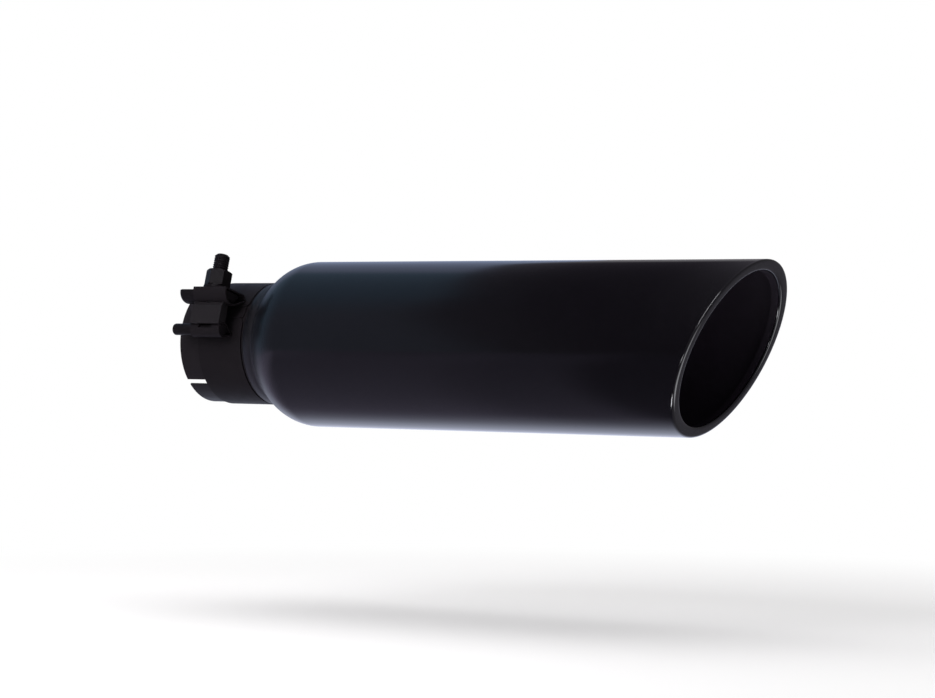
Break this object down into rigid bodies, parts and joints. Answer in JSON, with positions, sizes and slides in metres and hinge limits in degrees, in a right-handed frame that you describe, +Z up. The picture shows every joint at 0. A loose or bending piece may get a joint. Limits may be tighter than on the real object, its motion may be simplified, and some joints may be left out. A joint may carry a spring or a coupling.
{
  "type": "exhaust tip",
  "caption": "Round black exhaust tip with an angle-cut rolled outlet, a spun shoulder and a slotted inlet sleeve held by a single-bolt band clamp.",
  "frame": {"origin": "on the centre line at the inlet end of the sleeve", "axes": "+X along the pipe from the inlet to the outlet, +Z up with the long side of the cut on top, clamp bolt on the -Y side"},
  "size_m": [0.4887, 0.1279, 0.133],
  "materials": {
    "barrel_black": "gloss black coating over steel",
    "sleeve_black": "satin black coating",
    "weld_black": "satin black coating over the weld",
    "band_black": "satin black coating",
    "bridge_steel": "satin black coating",
    "bolt_black": "satin black, threaded",
    "bar_black": "satin black",
    "block_black": "satin black",
    "washer_black": "satin black",
    "nut_black": "satin black"
  },
  "bodies": {
    "root": {"barrel": "barrel_black", "inlet_sleeve": "sleeve_black", "neck_weld": "weld_black", "clamp_band": "band_black", "gap_bridge": "bridge_steel", "t_bolt": "bolt_black", "half_round_bar": "bar_black", "spacer_block": "block_black", "clamp_washer": "washer_black", "clamp_nut": "nut_black"}
  },
  "joints": []
}
